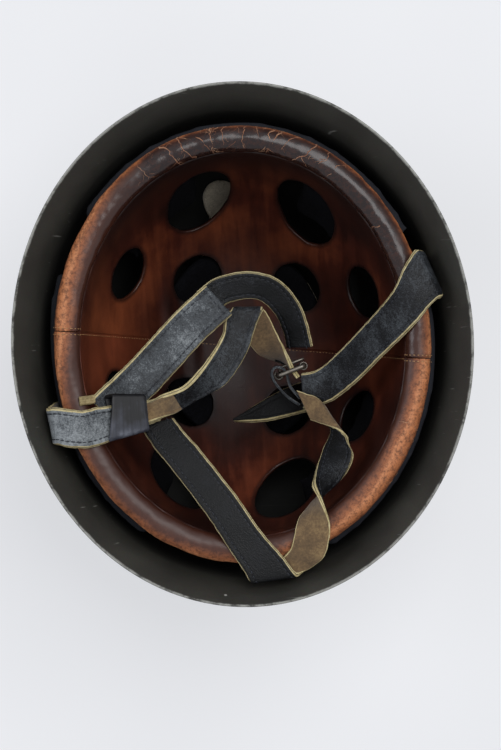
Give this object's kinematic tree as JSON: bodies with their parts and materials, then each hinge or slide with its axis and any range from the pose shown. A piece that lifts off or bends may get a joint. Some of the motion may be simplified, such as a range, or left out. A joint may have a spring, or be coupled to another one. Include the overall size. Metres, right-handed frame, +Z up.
{
  "type": "paratrooper helmet",
  "caption": "Steel paratrooper helmet lying upside down, with a padded leather liner, a sewn ear to ear seam and black leather chin and neck straps with a roller buckle.",
  "frame": {"origin": "centre of the bounding box at its base, where the crown rests on the ground with the opening up", "axes": "+Z up out of the opening, +Y towards the forehead, +X towards the side strap on the right when the forehead is at the top. To wear the helmet, turn it over about X."},
  "size_m": [0.249, 0.283, 0.16],
  "materials": {
    "painted_steel": "matt olive black paint, worn to bright steel at the rim",
    "liner_leather": "aged mahogany leather with streaks and creases",
    "lip_leather": "polished and cracked padded leather lip",
    "strap_leather": "doubled black grained leather with cream cut edges and stitching",
    "tan_leather": "raw tan leather",
    "foam": "black felted foam",
    "felt": "cream wool felt",
    "rivet_steel": "rivets painted over with the shell",
    "buckle_steel": "dull steel wire with light rust"
  },
  "bodies": {
    "helmet": {"shell": "painted_steel", "liner_front_panel": "liner_leather", "liner_rear_panel": "liner_leather", "lip_roll_front": "lip_leather", "lip_roll_rear": "lip_leather", "front_pad": "foam", "front_left_pad": "foam", "front_right_pad": "foam", "left_pad": "foam", "right_pad": "foam", "crown_pad": "foam", "crown_felt": "felt", "felt_patch": "felt", "strap_rivets": "rivet_steel", "strap_washers": "rivet_steel", "left_strap_root": "strap_leather", "right_strap_root": "strap_leather", "leather_tab": "tan_leather"},
    "harness": {"left_side_strap": "strap_leather", "right_side_strap": "strap_leather", "right_strap_tail": "strap_leather", "chin_strap_root": "strap_leather", "running_strap_end": "strap_leather", "neck_strap_root": "strap_leather", "neck_strap_wrap": "strap_leather"},
    "keeper": {"strap_keeper": "strap_leather"},
    "neck_strap": {"neck_strap": "strap_leather"},
    "chin_strap": {"chin_strap": "strap_leather", "chin_strap_extension": "strap_leather", "running_strap": "strap_leather", "buckle_chape": "strap_leather", "buckle_frame": "buckle_steel"},
    "roller": {"buckle_roller": "buckle_steel"},
    "prong": {"buckle_prong": "buckle_steel"}
  },
  "joints": [
    {"name": "harness_swing", "type": "hinge", "parent": "helmet", "child": "harness", "pos_m": [-0.0019, 0.002, 0.1541], "axis": [-0.9394, -0.3429, -0.0009], "range_deg": [0, 80]},
    {"name": "neck_strap_swing", "type": "hinge", "parent": "harness", "child": "neck_strap", "pos_m": [0.0045, -0.05285, 0.12895], "axis": [-0.9833, 0.0349, 0.1787], "range_deg": [0, 70]},
    {"name": "chin_strap_swing", "type": "hinge", "parent": "harness", "child": "chin_strap", "pos_m": [-0.01275, -0.02375, 0.1101], "axis": [0.8997, -0.1902, -0.3928], "range_deg": [-20, 0]},
    {"name": "keeper_slide", "type": "slide", "parent": "harness", "child": "keeper", "axis": [-0.8971, -0.1794, 0.4037], "range_m": [0, 0.004]},
    {"name": "prong_lift", "type": "hinge", "parent": "chin_strap", "child": "prong", "pos_m": [0.01967, -0.01872, 0.091], "axis": [0, 0, 1], "range_deg": [0, 20]},
    {"name": "roller_spin", "type": "hinge", "parent": "chin_strap", "child": "roller", "pos_m": [0.03393, -0.01408, 0.091], "axis": [0, 0, 1], "continuous": true}
  ]
}
